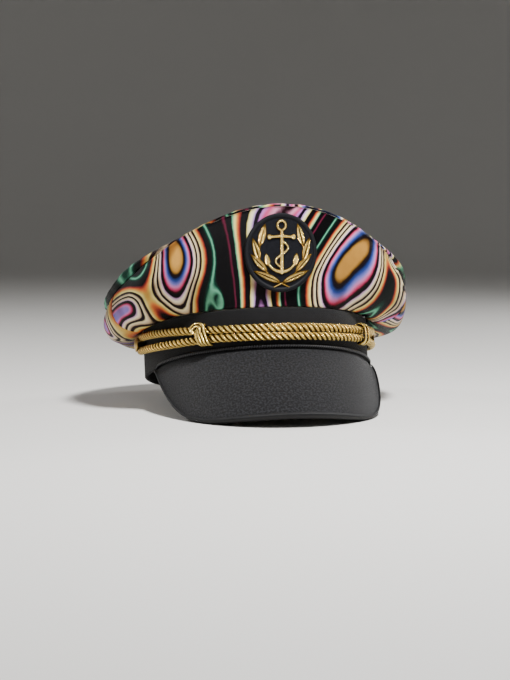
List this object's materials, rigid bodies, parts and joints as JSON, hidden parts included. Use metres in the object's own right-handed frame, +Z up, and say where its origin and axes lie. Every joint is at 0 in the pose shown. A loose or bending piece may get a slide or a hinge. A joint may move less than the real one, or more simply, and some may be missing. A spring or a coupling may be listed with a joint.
{
  "type": "captain hat",
  "caption": "Captain's hat with a soft printed cloth crown, stiff band, cloth peak, gold twisted cord with sliding knots and a round embroidered badge.",
  "frame": {"origin": "middle of the hat's outer box, on the surface that it rests on", "axes": "+X to the wearer's left, +Y to the back of the hat, +Z up"},
  "size_m": [0.2346, 0.2984, 0.1548],
  "materials": {
    "printed_cloth": "satin weave with a swirling print of many colours",
    "band_cloth": "matt black weave",
    "visor_cloth": "dark charcoal weave over a stiff board",
    "black_trim": "smooth, half gloss",
    "gold_thread": "shiny twisted metal thread",
    "button_metal": "polished",
    "badge_cloth": "black felt with a stitched rim"
  },
  "bodies": {
    "root": {"crown_top": "printed_cloth", "crown_side": "printed_cloth", "headband": "band_cloth", "visor": "visor_cloth", "visor_binding": "black_trim", "visor_welt": "black_trim", "chin_cord": "gold_thread", "knot_right": "gold_thread", "knot_left": "gold_thread", "side_button_left": "button_metal", "side_button_right": "button_metal", "badge_patch": "badge_cloth", "badge_anchor": "gold_thread", "badge_spray_left": "gold_thread", "badge_spray_right": "gold_thread"}
  },
  "joints": []
}
